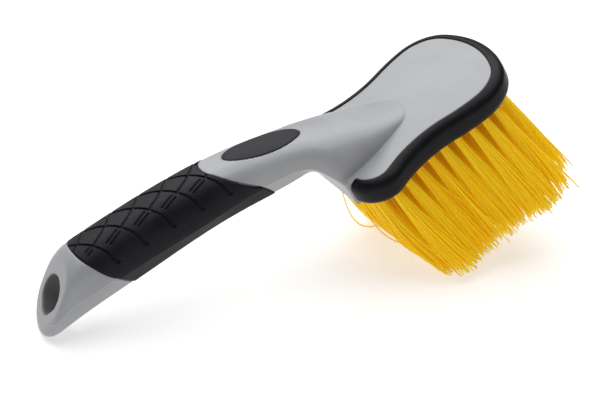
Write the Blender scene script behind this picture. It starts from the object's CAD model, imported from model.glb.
import math

import bpy
import numpy as np
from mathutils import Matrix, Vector


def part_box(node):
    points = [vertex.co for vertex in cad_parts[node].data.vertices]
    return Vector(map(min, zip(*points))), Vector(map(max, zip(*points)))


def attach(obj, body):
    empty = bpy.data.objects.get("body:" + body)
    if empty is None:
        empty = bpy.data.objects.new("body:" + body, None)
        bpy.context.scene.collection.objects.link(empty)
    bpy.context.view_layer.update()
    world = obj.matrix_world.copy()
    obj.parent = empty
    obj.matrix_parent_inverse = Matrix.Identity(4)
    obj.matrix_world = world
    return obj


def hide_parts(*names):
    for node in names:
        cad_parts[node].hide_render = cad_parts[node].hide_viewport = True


# The brush is drawn in the CAD's design frame, in millimetres: x forward along the head, z square
# to its top plate, y = 0 the plane of symmetry, x = 0 the nose tip. to_row() turns it to rest.
TILT = math.radians(30.2)
MM = 0.001
FIRST_ANCHOR = (-42.5, -6.9)       # x and z of the middle of anchor_row_01, which gives the move

# Handle, neck and nose: x, half width, parting height, crown height, underside height.
STATIONS = np.array([
    (-222.0, 15.6, 34.6, 58.0, 26.9),
    (-210.0, 16.4, 35.4, 57.6, 26.9),
    (-204.0, 16.7, 36.4, 57.3, 26.8),
    (-197.0, 16.8, 38.4, 56.9, 26.6),
    (-185.0, 16.9, 38.0, 56.0, 25.8),
    (-160.0, 17.0, 35.2, 53.6, 23.4),
    (-135.0, 17.0, 31.4, 50.6, 21.2),
    (-110.0, 16.8, 28.0, 46.2, 17.9),
    (-90.0, 16.4, 25.0, 41.1, 13.6),
    (-75.0, 16.2, 20.8, 35.9, 10.2),
    (-65.0, 16.8, 17.6, 31.9, 8.8),
    (-58.0, 19.0, 10.2, 29.0, 4.4),
    (-54.0, 22.0, 2.2, 27.2, -4.6),
    (-48.0, 23.4, -1.5, 24.3, -9.0),
    (-38.0, 22.4, -1.5, 19.6, -9.0),
    (-28.0, 20.6, -1.5, 14.4, -9.0),
    (-18.0, 18.0, -1.5, 8.9, -9.0),
    (-10.0, 15.4, -1.5, 4.9, -8.0),
    (-5.0, 13.0, -1.5, 2.8, -7.0),
    (-1.8, 9.8, -1.5, 1.6, -6.0),
    (-0.4, 6.2, -1.5, 1.0, -5.0),
    (0.35, 0.4, -1.5, 0.2, -4.0),
])
TIP_X = 0.36                       # where the nose closes, just past the last station
DOME_POWER = 2.84                  # power of the superellipse above the parting line
FOOT = 0.68                        # the underside's half width, as a share of the section's
SOLE_BOW = 1.6                     # how far the underside's edges stand above its middle

BUTT_FACE = (-199.7, 42.7, math.radians(36.0))     # x and z of a point on it, and its slope
BUTT_END_X = -215.8
BUTT_ROUND = 17.0
BUTT_HALF = 16.8
BUTT_EDGE_ROUND = 3.0
FACE_EDGE_ROUND = 3.4
HOLE_BIG = (0.4, 9.3)              # each circle's place along the face, and its radius
HOLE_SMALL = (-5.0, 5.5)
HOLE_EDGE_ROUND = 0.9

HEAD_THICK = 14.0
HEAD_TOP_ROUND = 0.7
HEAD_FOOT_ROUND = 0.5
NOSE_FILLET = 0.8                  # how softly the nose runs into the top plate
NECK_FILLET = 4.0                  # and the neck into the head's rear wall
RIM_START = (50.0, 0.0)
RIM_ENDS = [(45.1, 23.4), (25.2, 35.9), (7.3, 33.4), (-32.4, 36.6), (-38.8, 36.6)]
RIM_ENDS += [(-44.0, 32.4), (-46.3, 26.6)]
REAR_WALL_X = -53.0
REAR_CORNER = 1.6                  # how much the rear wall's corners are rounded
BUMPER_OUT = 5.5
BUMPER_CAP = 0.9                   # how far its rounded ends stand out

SLEEVE_RECESS = 1.5
SLEEVE_REAR = (-172.2, 41.0, math.tan(math.radians(25.5)))     # x, z and lean of its rear edge
SLEEVE_FRONT_Z = [10.0, 14.0, 25.4, 33.0, 39.0, 42.0, 44.0, 45.2, 47.5]
SLEEVE_FRONT_X = [-80.6, -82.2, -87.2, -93.2, -98.3, -101.1, -103.4, -105.3, -109.5]
PAD = (-73.0, 20.4, 10.1)          # centre x, half length, half width
PAD_RECESS = 1.1
PAD_SLOPE = math.radians(20.8)     # how steeply the neck's top runs down under the pad

ROW_COUNT = 11
ROW_PITCH = 8.5
FIRST_ROW_X = -42.5
EDGE_MARGIN = 5.2
SOCKET_RADIUS = 2.4
SOCKET_DEPTH = 9.0
FAR_OFF = 500.0                    # where a row's missing tufts are put

rng = np.random.default_rng(20)


# ---------------------------------------------------------------- curves and fields

def spline(xs, ys):
    """A natural cubic through the points, as a function."""
    xs, ys = np.asarray(xs, float), np.asarray(ys, float)
    h = np.diff(xs)
    n = len(xs)
    a = np.eye(n)
    b = np.zeros(n)
    for i in range(1, n - 1):
        a[i, i - 1:i + 2] = h[i - 1], 2 * (h[i - 1] + h[i]), h[i]
        b[i] = 6 * ((ys[i + 1] - ys[i]) / h[i] - (ys[i] - ys[i - 1]) / h[i - 1])
    m = np.linalg.solve(a, b)

    def at(x):
        x = np.clip(x, xs[0], xs[-1])
        i = np.clip(np.searchsorted(xs, x) - 1, 0, n - 2)
        p, q = xs[i + 1] - x, x - xs[i]
        g = h[i]
        return ((m[i] * p**3 + m[i + 1] * q**3) / (6 * g) + (ys[i] / g - m[i] * g / 6) * p
                + (ys[i + 1] / g - m[i + 1] * g / 6) * q)
    return at


def reach(x):
    """A measure of x that opens up the last millimetres at the nose's tip."""
    return -np.sqrt(np.maximum(TIP_X - x, 0.0))


CURVES = [spline(reach(STATIONS[:, 0]), STATIONS[:, k]) for k in range(1, 5)]
SLEEVE_FRONT = spline(SLEEVE_FRONT_Z, SLEEVE_FRONT_X)


def stations(x):
    """Half width, parting, crown and underside heights at x."""
    s = reach(x)
    return [curve(s) for curve in CURVES]


def cut_round(a, b, r):
    """Where both fields are inside, with a rounded edge between them."""
    return np.minimum(np.maximum(a, b), -r) + np.hypot(np.maximum(a + r, 0), np.maximum(b + r, 0))


def joined(a, b, k):
    """Either field, with a fillet between them."""
    h = np.clip(0.5 + 0.5 * (b - a) / k, 0, 1)
    return b + (a - b) * h - k * h * (1 - h)


def ramp(x, lo, hi):
    t = np.clip((x - lo) / (hi - lo), 0, 1)
    return t * t * (3 - 2 * t)


def arcs(start, heading, ends, step=0.7):
    """Points along tangent arcs in the plan."""
    points = [np.array([start])]
    angle = math.atan2(heading[1], heading[0])
    for end in ends:
        dx, dy = end[0] - start[0], end[1] - start[1]
        chord = math.hypot(dx, dy)
        turn = math.atan2(dy, dx) - angle
        turn = (turn + math.pi) % (2 * math.pi) - math.pi
        t = np.linspace(0, 1, max(3, int(chord / step)))[1:]
        far = chord * (np.sin(turn * t) / math.sin(turn) if abs(turn) > 1e-4 else t)
        points.append(np.stack([start[0] + far * np.cos(angle + turn * t),
                                start[1] + far * np.sin(angle + turn * t)], 1))
        angle += 2 * turn
        start = end
    return np.concatenate(points)


def rear_shoulder():
    """From the bumper's end straight back, round the corner and to the middle of the rear wall."""
    wall, half, r = REAR_WALL_X, RIM_ENDS[-1][1], REAR_CORNER
    turn = np.radians(np.linspace(90, 180, 7))
    corner = np.stack([wall + r + r * np.cos(turn), half - r + r * np.sin(turn)], 1)
    return np.concatenate([corner, [(wall, 0.0)]])


SIDE = arcs(RIM_START, (0, 1), RIM_ENDS)
HALF_RIM = np.concatenate([SIDE, rear_shoulder()])


def line_distance(px, py, line):
    """Distance in the plane to a line of straight stretches."""
    best = np.full(px.shape, 1e9)
    for (ax, ay), (bx, by) in zip(line[:-1], line[1:]):
        ex, ey = bx - ax, by - ay
        t = np.clip(((px - ax) * ex + (py - ay) * ey) / (ex * ex + ey * ey), 0, 1)
        best = np.minimum(best, np.hypot(px - ax - t * ex, py - ay - t * ey))
    return best


def outline_map():
    """Signed distance to the plate's outline over the plan, for y >= 0."""
    xs, ys = np.arange(-62, 60, MAP_STEP), np.arange(0, 46, MAP_STEP)
    px, py = np.meshgrid(xs, ys, indexing="ij")
    inside = np.zeros(px.shape, bool)
    for (ax, ay), (bx, by) in zip(HALF_RIM[:-1], HALF_RIM[1:]):
        crosses = (ax > px) != (bx > px)
        run = bx - ax if abs(bx - ax) > 1e-9 else 1e-9
        inside ^= crosses & (py < ay + (by - ay) * (px - ax) / run)
    distance = line_distance(px, py, HALF_RIM)
    return xs, ys, np.where(inside, -distance, distance)


MAP_STEP = 0.25
RIM_X, RIM_Y, RIM_MAP = outline_map()


def rim_distance(x, y):
    """Signed distance to the plate's outline, negative inside."""
    x, y = np.broadcast_arrays(x, np.abs(y))
    margin = 1.2 * MAP_STEP
    cx = np.clip(x, RIM_X[0], RIM_X[-1] - margin)
    cy = np.clip(y, 0, RIM_Y[-1] - margin)
    fx, fy = (cx - RIM_X[0]) / MAP_STEP, cy / MAP_STEP
    i, j = fx.astype(int), fy.astype(int)
    fx, fy = fx - i, fy - j
    low = RIM_MAP[i, j] * (1 - fx) + RIM_MAP[i + 1, j] * fx
    high = RIM_MAP[i, j + 1] * (1 - fx) + RIM_MAP[i + 1, j + 1] * fx
    return low * (1 - fy) + high * fy + np.hypot(x - cx, y - cy)


def tuft_rows():
    """For each row, its x and the y of its tufts, evenly spaced."""
    found = []
    for index in range(ROW_COUNT):
        x = FIRST_ROW_X + index * ROW_PITCH
        ends = np.array([x - SOCKET_RADIUS, x + SOCKET_RADIUS])
        half = np.interp(-ends, -SIDE[:, 0], SIDE[:, 1]).min() - EDGE_MARGIN
        gaps = max(1, round(2 * half / ROW_PITCH))
        found.append((x, np.linspace(-half, half, gaps + 1)))
    return found


ROWS = tuft_rows()
MOST = max(len(ys) for _, ys in ROWS)
SOCKET_Y = np.array([np.pad(ys, (0, MOST - len(ys)), constant_values=FAR_OFF) for _, ys in ROWS])


def handle(x, y, z):
    """The handle, neck and nose: a full dome over the parting line and two facets below it."""
    half, part, crown, sole = stations(x)
    rise = crown - part
    side, up = np.abs(y), np.maximum(z - part, 0)
    u = ((side / half)**DOME_POWER + (up / rise)**DOME_POWER)**(1 / DOME_POWER)
    r = np.hypot(side, up)
    dome = np.where(u > 1e-5, r - r / np.maximum(u, 1e-5), -np.minimum(half, rise))
    foot, knee = FOOT * half, sole + SOLE_BOW
    fall = part - knee
    facet = ((side - half) * fall - (z - part) * (half - foot)) / np.hypot(fall, half - foot)
    under = sole + SOLE_BOW * (side / foot)**2 - z
    return np.maximum(dome, cut_round(facet, under, 1.6))


def hole_distance(x, y, z):
    """Signed distance to the hang hole's wall: two circles and their common tangents."""
    fx, fz, slope = BUTT_FACE
    along = (x - fx) * math.cos(slope) + (z - fz) * math.sin(slope)
    b = (HOLE_BIG[1] - HOLE_SMALL[1]) / (HOLE_BIG[0] - HOLE_SMALL[0])
    a = math.sqrt(1 - b * b)
    side, back = np.abs(y), HOLE_BIG[0] - along
    k = -b * side + a * back
    return np.where(k < 0, np.hypot(side, back) - HOLE_BIG[1],
                    np.where(k > a * (HOLE_BIG[0] - HOLE_SMALL[0]),
                             np.hypot(side, along - HOLE_SMALL[0]) - HOLE_SMALL[1],
                             side * a + back * b - HOLE_BIG[1]))


def butt(field, x, y, z):
    """The rounded end, the slanted face with its soft rim and the hang hole through it."""
    fx, fz, slope = BUTT_FACE
    ahead = x - (BUTT_END_X + BUTT_ROUND)
    u = np.hypot(np.minimum(ahead, 0) / BUTT_ROUND, y / BUTT_HALF)
    r = np.hypot(np.minimum(ahead, 0), y)
    plan = np.where(u > 1e-5, r - r / np.maximum(u, 1e-5), -BUTT_HALF) - 0.05 * np.maximum(ahead, 0)
    field = cut_round(field, plan, BUTT_EDGE_ROUND)
    face = (z - fz) * math.cos(slope) - (x - fx) * math.sin(slope)
    field = cut_round(field, face, FACE_EDGE_ROUND)
    return cut_round(field, -hole_distance(x, y, z), HOLE_EDGE_ROUND)


def sleeve_zone(x, z):
    """How far x is outside the stretch that the grip sleeve covers, negative inside it."""
    rear = SLEEVE_REAR[0] - (z - SLEEVE_REAR[1]) * SLEEVE_REAR[2]
    front = SLEEVE_FRONT(z)
    return np.maximum(rear - x, x - front)


def pad_zone(x, y):
    """How far a point of the plan is outside the thumb pad's oval, negative inside it."""
    return (np.hypot((x - PAD[0]) / PAD[1], y / PAD[2]) - 1) * PAD[2]


def body(x, y, z):
    """The grey moulding as one field: handle, neck and nose blended into the head's block."""
    shaft = butt(handle(x, y, z), x, y, z) + 2.0 * np.maximum(x - 0.3, 0)
    _, part, crown, _ = stations(x)
    above = z - shaft * ramp(z, part, crown)
    shaft = shaft + SLEEVE_RECESS * ramp(-sleeve_zone(x, above), -0.15, 0.2)
    top_side = ramp(z, 22.0, 24.0) * (x < -40)
    shaft = shaft + PAD_RECESS * ramp(-pad_zone(x, y), -0.1, 0.25) * top_side
    plate = cut_round(rim_distance(x, y), z, HEAD_TOP_ROUND)
    block = cut_round(plate, -HEAD_THICK - z, HEAD_FOOT_ROUND)
    fillet = NOSE_FILLET + (NECK_FILLET - NOSE_FILLET) * ramp(-x, 46.0, 56.0)
    whole = joined(shaft, block, fillet)
    row = np.clip(np.rint((x - FIRST_ROW_X) / ROW_PITCH), 0, ROW_COUNT - 1).astype(int)
    gap = np.abs(np.asarray(y)[..., None] - SOCKET_Y[row]).min(-1)
    off = np.hypot(gap, x - FIRST_ROW_X - row * ROW_PITCH)
    socket = np.maximum(off - SOCKET_RADIUS, z + HEAD_THICK - SOCKET_DEPTH)
    return cut_round(whole, -socket, 0.3)


# ---------------------------------------------------------------- meshes

def turned(points):
    """Design frame points turned to the tilt that the brush rests at, in metres."""
    x, y, z = np.asarray(points, float).T
    c, s = math.cos(TILT), math.sin(TILT)
    return np.stack([x * c - z * s, y, x * s + z * c], 1) * MM


def to_row(points):
    """Design frame in millimetres to the row frame in metres, carried along with the CAD's anchors."""
    low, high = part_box("anchor_row_01")
    middle = turned([(FIRST_ANCHOR[0], 0.0, FIRST_ANCHOR[1])])[0]
    move = (np.array(low) + np.array(high)) / 2 - middle
    return turned(points) + move * (1, 0, 1)


def piece(name, points, faces, node, material, attributes=(), placed=False):
    """A mesh as one piece of the brush, standing for its CAD node. placed: points are in the row frame."""
    mesh = bpy.data.meshes.new(name)
    points = np.asarray(points if placed else to_row(points), np.float32)
    faces = np.asarray(faces, np.int32)
    sides = faces.shape[1]
    mesh.vertices.add(len(points))
    mesh.vertices.foreach_set("co", points.ravel())
    mesh.loops.add(faces.size)
    mesh.loops.foreach_set("vertex_index", faces.ravel())
    mesh.polygons.add(len(faces))
    mesh.polygons.foreach_set("loop_start", np.arange(0, faces.size, sides, dtype=np.int32))
    mesh.polygons.foreach_set("use_smooth", np.ones(len(faces), bool))
    mesh.update(calc_edges=True)
    for key, values in attributes:
        layer = mesh.attributes.new(key, "FLOAT", "POINT")
        layer.data.foreach_set("value", np.asarray(values, np.float32))
    mesh.materials.append(material)
    obj = bpy.data.objects.new(name, mesh)
    bpy.context.scene.collection.objects.link(obj)
    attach(obj, "root")
    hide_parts(node)
    return obj


def surface_nets(field, origin, step):
    """Quads round the inside of a sampled field, one vertex in each cell that it crosses."""
    inside = field < 0
    n = np.array(field.shape) - 1
    count = np.zeros(n, np.int8)
    shifts = [(i, j, k) for i in (0, 1) for j in (0, 1) for k in (0, 1)]
    for i, j, k in shifts:
        count += inside[i:i + n[0], j:j + n[1], k:k + n[2]]
    active = (count > 0) & (count < 8)
    cells = np.argwhere(active)
    ids = np.full(n, -1, np.int32)
    ids[active] = np.arange(len(cells))
    total, hits = np.zeros((len(cells), 3)), np.zeros(len(cells))
    for axis in range(3):
        for shift in [s for s in shifts if s[axis] == 0]:
            lo = cells + shift
            hi = lo.copy()
            hi[:, axis] += 1
            a, b = field[tuple(lo.T)], field[tuple(hi.T)]
            cross = (a < 0) != (b < 0)
            spot = np.tile(np.array(shift, float), (cross.sum(), 1))
            spot[:, axis] = a[cross] / (a[cross] - b[cross])
            total[cross] += spot
            hits[cross] += 1
    points = origin + (cells + total / hits[:, None]) * step
    quads = []
    for axis in range(3):
        p, q = (axis + 1) % 3, (axis + 2) % 3
        lower = np.take(inside, np.arange(n[axis]), axis)
        upper = np.take(inside, np.arange(1, n[axis] + 1), axis)
        edge = np.argwhere(lower != upper)
        edge = edge[(edge[:, p] > 0) & (edge[:, q] > 0) & (edge[:, p] < n[p]) & (edge[:, q] < n[q])]
        ring = []
        for dp, dq in ((0, 0), (1, 0), (1, 1), (0, 1)):
            cell = edge.copy()
            cell[:, p] -= dp
            cell[:, q] -= dq
            ring.append(ids[tuple(cell.T)])
        ring = np.stack(ring, 1)
        out = lower[tuple(edge.T)]
        quads.append(np.where(out[:, None], ring, ring[:, ::-1]))
    return points, np.concatenate(quads)


def settle(points, quads, field, rounds=3):
    """Evens the vertices out over the mesh and puts them exactly on the field's zero."""
    a = np.concatenate([quads[:, k] for k in range(4)])
    b = np.concatenate([quads[:, (k + 1) % 4] for k in range(4)])
    n = len(points)
    degree = np.bincount(a, minlength=n)
    for turn in range(rounds + 1):
        if turn:
            mean = np.stack([np.bincount(a, points[b, k], n) for k in range(3)], 1) / degree[:, None]
            points = points + 0.5 * (mean - points)
        for _ in range(2):
            value = field(*points.T)
            slope = np.stack([(field(*(points + d).T) - field(*(points - d).T)) / 0.04
                              for d in 0.02 * np.eye(3)], 1)
            pull = slope * (value / np.maximum((slope**2).sum(1), 0.2))[:, None]
            size = np.linalg.norm(pull, axis=1)[:, None]
            points = points - pull * np.minimum(1, 0.4 / np.maximum(size, 1e-9))
    return points


def grid_faces(rows, columns, wrap=False):
    """Quads over a grid of points numbered row by row, closing the columns if they wrap."""
    i, j = np.meshgrid(np.arange(rows - 1), np.arange(columns if wrap else columns - 1), indexing="ij")
    k = (j + 1) % columns
    return np.stack([i * columns + j, i * columns + k, (i + 1) * columns + k, (i + 1) * columns + j],
                    -1).reshape(-1, 4)


# ---------------------------------------------------------------- materials

def srgb(*values):
    """Linear colour from 8-bit display values."""
    lin = [((v / 255 + 0.055) / 1.055)**2.4 for v in values]
    return (*lin, 1.0)


class Paint:
    """A material under construction: short helpers over its node tree."""

    def __init__(self, name, rough):
        self.material = bpy.data.materials.new(name)
        self.material.use_nodes = True
        self.tree = self.material.node_tree
        self.shader = self.tree.nodes["Principled BSDF"]
        self.shader.inputs["Roughness"].default_value = rough
        self.place = self.node("ShaderNodeTexCoord").outputs["Object"]

    def node(self, kind, **sockets):
        made = self.tree.nodes.new(kind)
        for key, value in sockets.items():
            self.feed(made.inputs[key.replace("_", " ")], value)
        return made

    def feed(self, socket, value):
        if isinstance(value, bpy.types.NodeSocket):
            self.tree.links.new(value, socket)
        else:
            socket.default_value = value

    def noise(self, scale, detail=3.0, rough=0.55):
        made = self.node("ShaderNodeTexNoise", Vector=self.place, Scale=scale, Detail=detail,
                         Roughness=rough)
        return made.outputs["Fac"]

    def stretched(self, scale, squeeze, turn=0.0):
        """Noise drawn out along one direction, for scuffs."""
        mapped = self.node("ShaderNodeMapping", Vector=self.place, Scale=squeeze, Rotation=(0, turn, 0))
        made = self.node("ShaderNodeTexNoise", Vector=mapped.outputs[0], Scale=scale, Detail=4.0)
        return made.outputs["Fac"]

    def span(self, value, lo, hi, to_lo, to_hi):
        made = self.node("ShaderNodeMapRange")
        made.interpolation_type = "SMOOTHSTEP"
        for socket, item in zip(made.inputs, (value, lo, hi, to_lo, to_hi)):
            self.feed(socket, item)
        return made.outputs[0]

    def math(self, kind, a, b=0.0):
        made = self.node("ShaderNodeMath")
        made.operation = kind
        self.feed(made.inputs[0], a)
        self.feed(made.inputs[1], b)
        return made.outputs[0]

    def mix(self, factor, a, b):
        made = self.node("ShaderNodeMix")
        made.data_type = "RGBA"
        self.feed(made.inputs["Factor"], factor)
        self.feed(made.inputs[6], a)
        self.feed(made.inputs[7], b)
        return made.outputs[2]

    def value_of(self, key):
        made = self.node("ShaderNodeAttribute")
        made.attribute_name = key
        return made.outputs["Fac"]

    def bump(self, height, strength, distance, under=None):
        made = self.node("ShaderNodeBump", Height=height, Strength=strength, Distance=distance)
        if under is not None:
            self.feed(made.inputs["Normal"], under)
        self.feed(self.shader.inputs["Normal"], made.outputs[0])
        return made.outputs[0]

    def set(self, **sockets):
        for key, value in sockets.items():
            self.feed(self.shader.inputs[key.replace("_", " ")], value)


def grey_paint():
    p = Paint("grey_plastic", 0.4)
    cloud = p.noise(28.0, 4.0)
    scuff = p.stretched(60.0, (1.0, 6.0, 6.0), -TILT)
    base = p.mix(p.span(cloud, 0.35, 0.7, 0.0, 1.0), srgb(156, 157, 160), srgb(166, 167, 170))
    worn = p.span(scuff, 0.62, 0.74, 0.0, 0.25)
    seam = p.math("ABSOLUTE", p.value_of("seam"))
    line = p.span(seam, 0.12, 0.32, 1.0, 0.0)
    base = p.mix(worn, base, srgb(174, 175, 179))
    base = p.mix(p.math("MULTIPLY", p.value_of("shade"), 0.8), base, srgb(70, 70, 70))
    base = p.mix(p.math("MULTIPLY", line, 0.6), base, srgb(196, 197, 200))
    p.set(Base_Color=base, Roughness=p.span(cloud, 0.3, 0.75, 0.34, 0.46))
    p.shader.inputs["Specular IOR Level"].default_value = 0.45
    fine = p.bump(p.noise(2600.0, 2.0), 0.10, 0.0002)
    soft = p.bump(p.noise(60.0, 2.0), 0.12, 0.0012, fine)
    p.bump(line, 0.5, 0.0003, soft)
    return p.material


def rubber_paint(name, dark, light, rough, shine):
    p = Paint(name, rough)
    cloud = p.noise(45.0, 5.0)
    grain = p.noise(3200.0, 2.0)
    dust = p.stretched(120.0, (1.0, 3.0, 3.0), -TILT)
    base = p.mix(p.span(cloud, 0.35, 0.7, 0.0, 1.0), dark, light)
    base = p.mix(p.span(dust, 0.62, 0.8, 0.0, 0.1), base, srgb(80, 80, 82))
    p.set(Base_Color=base, Roughness=p.span(cloud, 0.3, 0.75, rough - 0.06, rough + 0.07))
    p.shader.inputs["Specular IOR Level"].default_value = shine
    soft = p.bump(p.noise(90.0, 2.0), 0.10, 0.0008)
    p.bump(grain, 0.22, 0.0003, soft)
    return p.material


def filament_paint():
    p = Paint("yellow_filament", 0.34)
    p.shader.inputs["Specular IOR Level"].default_value = 0.3
    p.shader.inputs["Emission Strength"].default_value = 0.11
    tone, along = p.value_of("tone"), p.value_of("along")
    base = p.mix(tone, (1.0, 0.72, 0.004, 1), (1.0, 0.84, 0.02, 1))
    inner = p.math("MULTIPLY", p.span(along, 0.0, 0.6, 1.0, 0.0), p.value_of("inner"))
    base = p.mix(p.span(along, 0.0, 0.25, 0.5, 0.0), base, (1.0, 0.46, 0.0, 1))
    base = p.mix(inner, base, (0.62, 0.19, 0.0, 1))
    base = p.mix(p.span(along, 0.93, 1.0, 0.0, 0.4), base, (1.0, 0.82, 0.10, 1))
    p.set(Base_Color=base, Emission_Color=base, Roughness=p.span(p.noise(300.0), 0.3, 0.7, 0.28, 0.45))
    p.bump(p.noise(1400.0, 3.0), 0.25, 0.0004)
    glow = p.node("ShaderNodeBsdfTranslucent", Color=base)
    both = p.node("ShaderNodeMixShader", Fac=0.3)
    p.feed(both.inputs[1], p.shader.outputs[0])
    p.feed(both.inputs[2], glow.outputs[0])
    p.feed(p.tree.nodes["Material Output"].inputs["Surface"], both.outputs[0])
    return p.material


def wire_paint():
    p = Paint("staple_wire", 0.35)
    cloud = p.noise(400.0, 4.0)
    p.set(Base_Color=p.mix(cloud, srgb(150, 150, 152), srgb(190, 190, 192)), Metallic=1.0,
          Roughness=p.span(cloud, 0.3, 0.7, 0.25, 0.45))
    p.bump(p.stretched(900.0, (1.0, 12.0, 12.0)), 0.2, 0.0002)
    return p.material


# ---------------------------------------------------------------- pieces of the brush

def make_body(material):
    """The grey moulding, sampled in slabs, drawn off as quads and settled on its exact surface."""
    step = 0.6
    slab = 40
    lo, hi = np.array([-217.0, -38.4, -16.0]), np.array([52.0, 38.4, 60.5])
    n = ((hi - lo) / step).astype(int) + 1
    x, y, z = (lo[k] + step * np.arange(n[k]) for k in range(3))
    field = np.empty(tuple(n), np.float32)
    for i in range(0, n[0], slab):
        field[i:i + slab] = body(x[i:i + slab, None, None], y[None, :, None], z[None, None, :])
    points, quads = surface_nets(field, lo, step)
    points = settle(points, quads, body)
    piece("body_shell", points, quads, "body_moulding", material,
          [("seam", seam_height(points)), ("shade", bore_shade(points))])


def seam_height(points):
    """Height above the parting line on the sides behind the head, and well off it elsewhere."""
    x, y, z = points.T
    side = np.where(x < -170, 11.0, 9.0)
    return np.where((x < -51) & (np.abs(y) > side), z - stations(x)[1], 9.0)


def bore_shade(points):
    """One on the hang hole's wall, none outside it."""
    x, y, z = points.T
    return (1 - ramp(hole_distance(x, y, z), 0.15, 0.75)) * (x < -180)


def dome_point(x, share):
    """The dome at x and a share of its arc from the crown: arc length, y, z and the way out in y and z."""
    half, part, crown, _ = stations(x)
    rise = crown - part
    t = np.linspace(0, math.pi / 2, 181)
    power = 2 / DOME_POWER
    y = (half[..., None] * np.sin(t)**power).reshape(-1, len(t))
    z = (rise[..., None] * np.cos(t)**power).reshape(-1, len(t))
    run = np.concatenate([np.zeros((len(y), 1)), np.cumsum(np.hypot(np.diff(y), np.diff(z)), -1)], -1)
    w = share * run[:, -1].reshape(x.shape)
    side, along = np.sign(w), np.abs(w).ravel()
    i = np.clip((run < along[:, None]).sum(1) - 1, 0, len(t) - 2)
    k = np.arange(len(along))
    f = np.clip((along - run[k, i]) / (run[k, i + 1] - run[k, i]), 0, 1)
    py = (y[k, i] * (1 - f) + y[k, i + 1] * f).reshape(x.shape)
    pz = (z[k, i] * (1 - f) + z[k, i + 1] * f).reshape(x.shape)
    gy = (py / half)**(DOME_POWER - 1) / half
    gz = (np.maximum(pz, 0) / rise)**(DOME_POWER - 1) / rise
    size = np.hypot(gy, gz)
    return w, py * side, part + pz, gy / size * side, gz / size


# Each groove starts at x = a crown on the grip's ridge, and its lines run from there: along x, round it.
GROOVE_CROWNS = [-175.2, -159.1, -143.4, -127.4, -112.0, -96.3]
GROOVE_LEG = [(0, 0), (1.2, -1.3), (2.6, -3.0), (4.5, -5.8), (6.3, -9.2), (8.1, -12.9), (9.5, -16.9),
              (10.1, -20.0), (10.1, -22.1)]
GROOVE_HOOK = [(10.1, -22.1), (11.3, -21.8)]
GROOVE_ARCH = [(0, 0), (-2.3, -2.5), (-4.4, -4.1), (-7.0, -5.8), (-9.9, -7.8)]
DASH_END_X = -174.4                # no dashes further back than this
GROOVE_DASHES = [[(-12.7, -7.7), (-20.1, -10.9)], [(-11.7, -9.7), (-19.3, -12.7)]]


def tread(x, w):
    """How deep the grip's tread is cut at x and arc length w, in millimetres."""
    depth = np.zeros(x.shape)
    for crown in GROOVE_CROWNS:
        near = (x > crown - 24) & (x < crown + 15)
        px, pw, whole = x[near] - crown, w[near], x[near] > DASH_END_X
        cut = depth[near]
        for mirrored in (pw, -pw):
            leg_width = 0.7 + 0.3 * ramp(-mirrored, 4.0, 14.0)
            lines = [(GROOVE_LEG, 0.95, leg_width, 0.45), (GROOVE_HOOK, 0.9, 0.6, 0.4),
                     (GROOVE_ARCH, 1.0, 0.8, 0.5), (GROOVE_DASHES[0], 0.8 * whole, 0.6, 0.35),
                     (GROOVE_DASHES[1], 0.8 * whole, 0.5, 0.35)]
            for line, deep, wide, wall in lines:
                cut = np.maximum(cut, deep * ramp(wide - line_distance(px, mirrored, line), 0.0, wall))
        depth[near] = cut
    return depth


def sleeve_spans(v, u):
    """x at each place v round the sleeve and u along it, between its slanted rear and curved front."""
    share = np.maximum(np.cos(np.clip(v, -1, 1) * math.pi / 2), 0)**(2 / DOME_POWER)
    drop = np.clip(np.abs(v) - 1, 0, 1)
    rear_z, front_z = np.full(len(v), 40.0), np.full(len(v), 32.0)
    for _ in range(6):
        rear = SLEEVE_REAR[0] - (rear_z - SLEEVE_REAR[1]) * SLEEVE_REAR[2]
        front = SLEEVE_FRONT(front_z)
        heights = []
        for x in (rear, front):
            _, part, crown, sole = stations(x)
            lower = np.where(v > 2, sole + SOLE_BOW * (1 - 2 * (v - 2))**2,
                             part * (1 - drop) + (sole + SOLE_BOW) * drop)
            heights.append(np.where(np.abs(v) <= 1, part + (crown - part) * share, lower))
        rear_z, front_z = heights
    return rear, front, rear + (front - rear) * u[:, None]


def sleeve_section(x, v):
    """Places round the sleeve's section at x, without the tread: w, y, z and the way out in y and z."""
    half, part, _, sole = stations(x)
    knee, foot = sole + SOLE_BOW, FOOT * half
    w, y, z, ny, nz = (np.zeros_like(x) for _ in range(5))
    top = np.abs(v) <= 1
    w[:, top], y[:, top], z[:, top], ny[:, top], nz[:, top] = dome_point(x[:, top], v[top])
    for mark, sign in (((v > 1) & (v <= 2), 1), (v < -1, -1)):
        t = np.abs(v[mark]) - 1
        y[:, mark] = sign * (half[:, mark] * (1 - t) + foot[:, mark] * t)
        z[:, mark] = part[:, mark] * (1 - t) + knee[:, mark] * t
        fall, inset = (part - knee)[:, mark], (half - foot)[:, mark]
        size = np.hypot(fall, inset)
        ny[:, mark], nz[:, mark] = sign * fall / size, -inset / size
    under = v > 2
    t = 1 - 2 * (v[under] - 2)
    y[:, under] = foot[:, under] * t
    z[:, under] = sole[:, under] + SOLE_BOW * t**2
    nz[:, under] = -1.0
    knee_round(y, z, v)
    return w, y, z, ny, nz


def soft_edge(inward, drop, radius):
    """How far a surface falls off towards an edge that is inward away, by drop over a rounded radius."""
    return drop * (1 - np.sqrt(np.clip(1 - (1 - np.clip(inward / radius, 0, 1))**2, 0, 1)))


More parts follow.
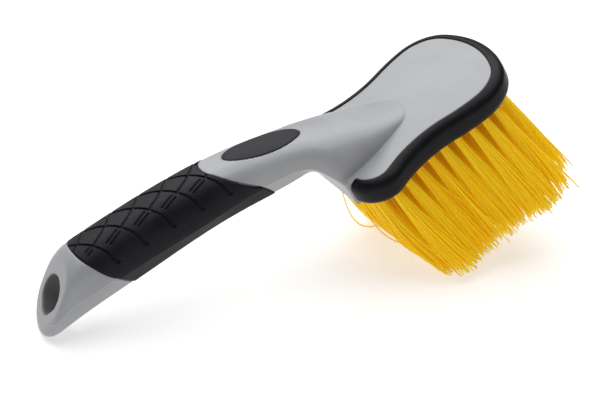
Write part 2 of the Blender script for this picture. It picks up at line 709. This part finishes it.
def make_sleeve(material):
    """The soft grip round the handle: a grid round the section and along it, with its tread.

    v runs round the section: -1 to 1 over the dome, on to 2 down one side, to 3 across the
    underside, and from -2 to -1 up the other side."""
    step = 0.24
    long, dome = int(96 / step), int(60 / step)
    v = np.concatenate([np.linspace(-1, 1, dome), np.linspace(1, 2, 26)[1:], np.linspace(2, 3, 30)[1:-1],
                        np.linspace(-2, -1, 26)[:-1]])
    u = np.linspace(0, 1, long)
    rear, front, x = sleeve_spans(v, u)
    w, y, z, ny, nz = sleeve_section(x, v)
    inward = np.minimum(u, 1 - u)[:, None] * (front - rear)
    cut = np.where(np.abs(v) <= 1, tread(x, w), 0.0)
    seam = 0.28 * np.exp(-((np.abs(np.abs(v) - 1) * 14.0 / 0.5)**2))
    lift = 0.3 - soft_edge(inward, 1.3, 1.1) - cut - seam
    points = np.stack([x, y + ny * lift, z + nz * lift], -1).reshape(-1, 3)
    faces = grid_faces(long, len(v), wrap=True)[:, ::-1]
    piece("grip", points, faces, "grip_sleeve", material)


def knee_round(y, z, v):
    """Softens the lower knees of the section in place."""
    for centre in (2.0, -2.0):
        near = np.where(np.abs(v - centre) < 0.16)[0]
        for _ in range(6):
            left, right = np.roll(y, 1, 1), np.roll(y, -1, 1)
            y[:, near] = (0.5 * y + 0.25 * (left + right))[:, near]
            low, high = np.roll(z, 1, 1), np.roll(z, -1, 1)
            z[:, near] = (0.5 * z + 0.25 * (low + high))[:, near]


def make_pad(material):
    """The thumb pad: a polar grid on the dome, a little proud, with a rounded edge."""
    rings, spokes = 70, 200
    rho = np.concatenate([[0.0], np.linspace(0, 1, rings)[1:]])
    turn = np.linspace(0, 2 * math.pi, spokes, endpoint=False)
    x = PAD[0] + PAD[1] * rho[:, None] * np.cos(turn)
    y = PAD[2] * rho[:, None] * np.sin(turn)
    half, part, crown, _ = stations(x)
    rise = crown - part
    z = part + rise * (1 - (np.abs(y) / half)**DOME_POWER)**(1 / DOME_POWER)
    lift = 0.22 - soft_edge((1 - rho[:, None]) * PAD[2], 1.1, 0.8)
    points = np.stack([x + lift * math.sin(PAD_SLOPE), y, z + lift * math.cos(PAD_SLOPE)], -1)
    piece("thumb_grip", points.reshape(-1, 3), grid_faces(len(rho), spokes, wrap=True), "thumb_pad",
          material)


def bumper_profile():
    """The bumper's section, going round from the inside top: distance out, height."""
    top, foot, bulge = 4.9, 4.6, 0.35
    quarter = np.radians(np.linspace(90, 0, 16))
    line = [(0.0, -1.2), (0.0, -0.3), (0.12, 0.05), (0.35, 0.22)]
    centre = (BUMPER_OUT - top, 0.3 - top)
    line += [(centre[0] + top * math.cos(a), centre[1] + top * math.sin(a)) for a in quarter]
    side = np.linspace(0, 1, 10)[1:-1]
    low = foot - HEAD_THICK
    line += [(BUMPER_OUT, centre[1] * (1 - t) + low * t) for t in side]
    line += [(BUMPER_OUT - foot + foot * math.cos(a), low + foot * math.sin(a)) for a in -quarter[::-1]]
    line += [(0.4, -HEAD_THICK + 0.1), (0.0, -HEAD_THICK + 0.5), (0.0, -7.0)]
    line = np.array(line)
    swell = np.clip(1 - ((line[:, 1] + 6.8) / 7.0)**2, 0, 1) * ramp(line[:, 0], 2.0, 5.0)
    line[:, 0] += bulge * swell
    return line


def make_bumper(material):
    """The bumper: its section swept round the rim, with softly rounded ends against the shoulders."""
    side = resample(SIDE, 0.7)
    path = np.concatenate([side[::-1] * (1, -1), side[1:]])
    tangent = unit(np.gradient(path, axis=0))
    normal = np.stack([tangent[:, 1], -tangent[:, 0]], 1)
    profile = bumper_profile()
    grid = np.empty((len(path), len(profile), 3))
    for k, (out, height) in enumerate(profile):
        grid[:, k, :2] = path + out * normal
        grid[:, k, 2] = height
    caps = []
    for end, onward in ((0, -1), (-1, 1)):
        middle = grid[end].mean(0)
        ahead = BUMPER_CAP * np.append(tangent[end] * onward, 0.0)
        cap = [middle + (grid[end] - middle) * (1 - 0.2 * (1 - math.cos(a))) + math.sin(a) * ahead
               for a in np.radians([18, 36, 54, 72, 90])]
        tip = middle + ahead
        cap += [tip + (cap[-1] - tip) * keep for keep in (0.5, 0.02)]
        caps.append(np.array(cap))
    grid = np.concatenate([caps[0][::-1], grid, caps[1]])
    rows, columns = grid.shape[:2]
    piece("bumper", grid.reshape(-1, 3), grid_faces(rows, columns, wrap=True)[:, ::-1],
          "head_bumper", material)


def resample(line, step):
    """The same line with its points evenly spaced."""
    run = np.concatenate([[0], np.cumsum(np.linalg.norm(np.diff(line, axis=0), axis=1))])
    t = np.linspace(0, run[-1], int(run[-1] / step))
    return np.stack([np.interp(t, run, line[:, k]) for k in range(2)], 1)


FILAMENT_LENGTH = 66.0
FILAMENT_RADIUS = 0.36
FLOOR_GAP = 0.5
BUNDLE = 1.85                      # radius of a tuft where it leaves its socket
FAN = 4.8                          # how far its outer filaments spread by the time they are DROP down
DROP = 61.0
STRAYS = 0.015                     # the share of filaments that stand away from their tuft
GOLDEN_ANGLE = 2.39996
HEAD_FORWARD = (0.864, 0, 0.503)   # in the row frame


def unit(vectors):
    return vectors / np.linalg.norm(vectors, axis=-1)[..., None]


def tuft_paths(x, y, count):
    """The filaments of one tuft: each one's root, its tip if it ran straight, and a point on the way out."""
    k = np.arange(count)
    r = BUNDLE * np.sqrt((k + 0.5) / count)
    a = GOLDEN_ANGLE * k + rng.uniform(0, 6.28)
    spot = np.stack([r * np.cos(a), r * np.sin(a)], 1)
    root = np.column_stack([x + spot[:, 0], y + spot[:, 1], np.full(count, -HEAD_THICK + 0.5)])
    spread = spot / BUNDLE * FAN + rng.normal(0, 0.8, (count, 2))
    stray = rng.random(count) < STRAYS
    spread[stray] += rng.normal(0, 4.5, (stray.sum(), 2))
    rear = float(ramp(-x, 14.0, 44.0))
    drift = np.array([7.0 + 4.0 * rear, y * (0.56 - 0.16 * rear)]) + rng.normal(0, 0.6, 2)
    way = unit(np.column_stack([drift + spread, np.full(count, -DROP)]))
    axis = np.append(drift, -DROP) + 0.25 * np.column_stack([spot, 0 * r])
    return root, root + way * (FILAMENT_LENGTH + rng.normal(0, 1.2, count))[:, None], root + axis


def bend(root, tip, axis, lean):
    """Filament curves in the row frame: leaving along the tuft's axis, then turned by the table."""
    root, tip, axis = (to_row(p) / MM for p in (root, tip, axis))
    length = np.linalg.norm(tip - root, axis=1)[:, None]
    way = unit(tip - root)
    count = len(root)
    low = np.maximum(FLOOR_GAP + rng.uniform(0, 2.2, count) - tip[:, 2], 0)[:, None]
    level = unit(way * (1, 1, 0) + (0.35, 0, 0))
    end = tip + (0, 0, 1) * low + level * (0.6 * low)
    flattened = np.clip(low / 9.0, 0, 1)
    finish = unit(way * (1 - flattened) + level * flattened + lean * (-0.6, 0, -0.35))
    start = unit(unit(axis - root) + lean * HEAD_FORWARD)
    bow = rng.normal(0, 0.85, (count, 3)) * (1, 1, 0.4)
    second = root + start * length * 0.36 + 0.5 * bow
    third = end - finish * length * 0.33 + bow
    t = np.linspace(0, 1, 13)[None, :, None]
    curve = ((1 - t)**3 * root[:, None] + 3 * (1 - t)**2 * t * second[:, None]
             + 3 * (1 - t) * t**2 * third[:, None] + t**3 * end[:, None])
    curve[:, :, 2] = np.maximum(curve[:, :, 2], FLOOR_GAP)
    inner = root - start * 4.0
    return np.concatenate([inner[:, None], curve], 1)


def tubes(paths, radius):
    """Six-sided closed tubes along the paths."""
    along = unit(np.gradient(paths, axis=1))
    side = unit(np.cross(along, (0.0, 1.0, 0.12)))
    other = np.cross(along, side)
    count, stops = paths.shape[:2]
    turn = np.arange(6) * math.pi / 3
    size = radius[:, None] * np.append(np.ones(stops - 1), 0.72)
    ring = (side[:, :, None] * np.cos(turn)[:, None] + other[:, :, None] * np.sin(turn)[:, None])
    points = paths[:, :, None] + ring * size[:, :, None, None]
    one = grid_faces(stops, 6, wrap=True)[:, ::-1]
    last = (stops - 1) * 6
    caps = np.array([(0, 1, 2, 3), (0, 3, 4, 5)])
    one = np.concatenate([one, caps, last + caps[:, ::-1]])
    faces = (one[None] + (np.arange(count) * stops * 6)[:, None, None]).reshape(-1, 4)
    return points.reshape(-1, 3), faces


def make_rows(material):
    """One piece for each row of tufts."""
    per_tuft = 62
    for number, (x, ys) in enumerate(ROWS, 1):
        ends = [tuft_paths(x, y, per_tuft) for y in ys]
        root, tip, axis = (np.concatenate([end[k] for end in ends]) for k in range(3))
        lean = -0.2 * ramp(-root[:, :1], 20.0, 46.0) + 0.06 * ramp(root[:, :1], 20.0, 44.0)
        paths = bend(root, tip, axis, lean)
        count, stops = paths.shape[:2]
        points, faces = tubes(paths, FILAMENT_RADIUS * rng.uniform(0.9, 1.1, count))
        tone = np.repeat(rng.uniform(0, 1, count), stops * 6)
        along = np.tile(np.repeat(np.linspace(0, 1, stops), 6), count)
        edge_row = number in (1, len(ROWS))
        hidden = np.where(edge_row | (np.abs(ys) > ys.max() - 0.1), 0.0, 0.85)
        inner = np.repeat(hidden, per_tuft * stops * 6)
        piece(f"bristles_{number:02d}", points * MM, faces, f"tuft_row_{number:02d}",
              material, [("tone", tone), ("along", along), ("inner", inner)], placed=True)


def paint_anchors(material):
    """The staples stay the CAD's own, in bright wire."""
    for name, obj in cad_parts.items():
        if name.startswith("anchor_row"):
            obj.data.materials.clear()
            obj.data.materials.append(material)


# ---------------------------------------------------------------- setting

def floor():
    """A plain pale table top."""
    p = Paint("pale_table", 0.6)
    p.set(Base_Color=p.mix(p.noise(3.0), (0.54, 0.54, 0.54, 1), (0.56, 0.56, 0.56, 1)))
    p.set(Emission_Color=(1.0, 1.0, 1.0, 1.0), Emission_Strength=0.58)
    mesh = bpy.data.meshes.new("table")
    mesh.from_pydata([(-6, -6, 0), (6, -6, 0), (6, 6, 0), (-6, 6, 0)], [], [(0, 1, 2, 3)])
    mesh.materials.append(p.material)
    obj = bpy.data.objects.new("table", mesh)
    bpy.context.scene.collection.objects.link(obj)


def soft_light(name, place, aim, size, watts):
    """A square area light that looks at a point."""
    light = bpy.data.lights.new(name, "AREA")
    light.energy = watts
    light.size = size
    obj = bpy.data.objects.new(name, light)
    obj.location = place
    obj.rotation_euler = (Vector(aim) - Vector(place)).to_track_quat("-Z", "Y").to_euler()
    bpy.context.scene.collection.objects.link(obj)


def studio():
    """White surroundings and two soft lights."""
    world = bpy.data.worlds.new("studio")
    world.use_nodes = True
    world.node_tree.nodes["Background"].inputs["Color"].default_value = (1, 1, 1, 1)
    world.node_tree.nodes["Background"].inputs["Strength"].default_value = 0.16
    bpy.context.scene.world = world
    soft_light("key", (0.1, 0.35, 1.5), aim=(0, 0, 0.03), size=2.2, watts=38.0)
    soft_light("back", (-0.15, 1.1, 0.8), aim=(0, 0, 0.05), size=1.0, watts=3.5)
    bpy.context.scene.view_settings.view_transform = "Standard"


CAMERA_AIM = (-71.94, 0.0, -7.68)
CAMERA_AZIMUTH = math.radians(-26.97)
CAMERA_ELEVATION = math.radians(25.9)
CAMERA_DISTANCE = 0.7251


def camera():
    """A long lens, above the near side of the handle."""
    aim = Vector(to_row(np.array([CAMERA_AIM]))[0])
    level = math.cos(CAMERA_ELEVATION)
    back = Vector((math.sin(CAMERA_AZIMUTH) * level, -math.cos(CAMERA_AZIMUTH) * level,
                   math.sin(CAMERA_ELEVATION)))
    data = bpy.data.cameras.new("camera")
    data.sensor_width = 36.0
    data.lens = 84.0
    data.clip_end = 30.0
    obj = bpy.data.objects.new("camera", data)
    obj.location = aim + back * CAMERA_DISTANCE
    obj.rotation_euler = (-back).to_track_quat("-Z", "Y").to_euler()
    bpy.context.scene.collection.objects.link(obj)
    bpy.context.scene.camera = obj


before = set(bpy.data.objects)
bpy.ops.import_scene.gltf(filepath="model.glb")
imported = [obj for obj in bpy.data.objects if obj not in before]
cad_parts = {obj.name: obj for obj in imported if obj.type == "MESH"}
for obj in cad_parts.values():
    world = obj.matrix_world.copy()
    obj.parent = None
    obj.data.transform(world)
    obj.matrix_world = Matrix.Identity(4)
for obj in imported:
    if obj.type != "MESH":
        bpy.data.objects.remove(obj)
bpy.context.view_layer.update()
rubber = rubber_paint("black_grip", srgb(19, 20, 25), srgb(25, 26, 31), 0.46, 0.14)
make_body(grey_paint())
make_sleeve(rubber)
make_pad(rubber_paint("pad_grip", srgb(34, 35, 40), srgb(40, 41, 46), 0.62, 0.25))
make_bumper(rubber_paint("bumper_soft", srgb(14, 15, 18), srgb(19, 20, 23), 0.38, 0.13))
make_rows(filament_paint())
paint_anchors(wire_paint())
floor()
studio()
camera()
